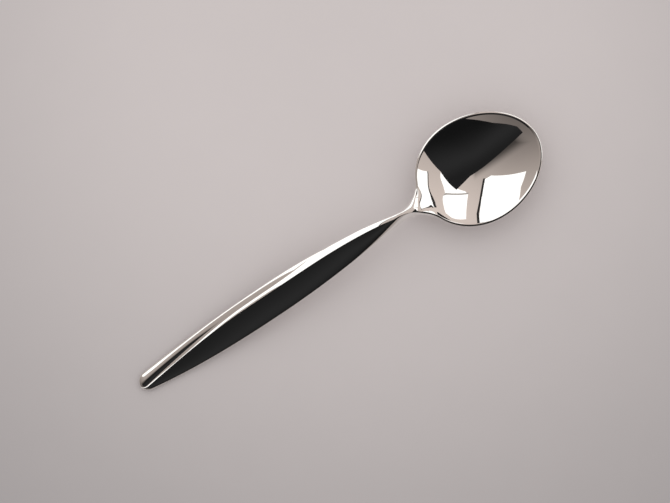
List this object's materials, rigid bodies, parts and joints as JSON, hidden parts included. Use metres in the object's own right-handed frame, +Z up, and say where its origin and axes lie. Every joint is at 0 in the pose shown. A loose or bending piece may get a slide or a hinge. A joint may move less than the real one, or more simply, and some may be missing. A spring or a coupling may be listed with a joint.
{
  "type": "sauce spoon",
  "caption": "Mirror-polished serving spoon with a near-round egg-shaped bowl, a thin keeled neck and a leaf-shaped handle with an off-centre ridge; it lies bowl up on a table.",
  "frame": {"origin": "on the table under the middle of the spoon's length and width, with the spoon lying bowl up", "axes": "+X along the spoon from the handle tip to the bowl, +Y across it to the narrow leaf's side, +Z up out of the bowl"},
  "size_m": [0.175, 0.0414, 0.0143],
  "materials": {
    "bowl_silver": "mirror-polished silver",
    "handle_silver": "mirror-polished silver",
    "seam_solder": "hard silver solder, polished flush"
  },
  "bodies": {
    "root": {"bowl": "bowl_silver", "handle": "handle_silver", "solder_seam": "seam_solder"}
  },
  "joints": []
}
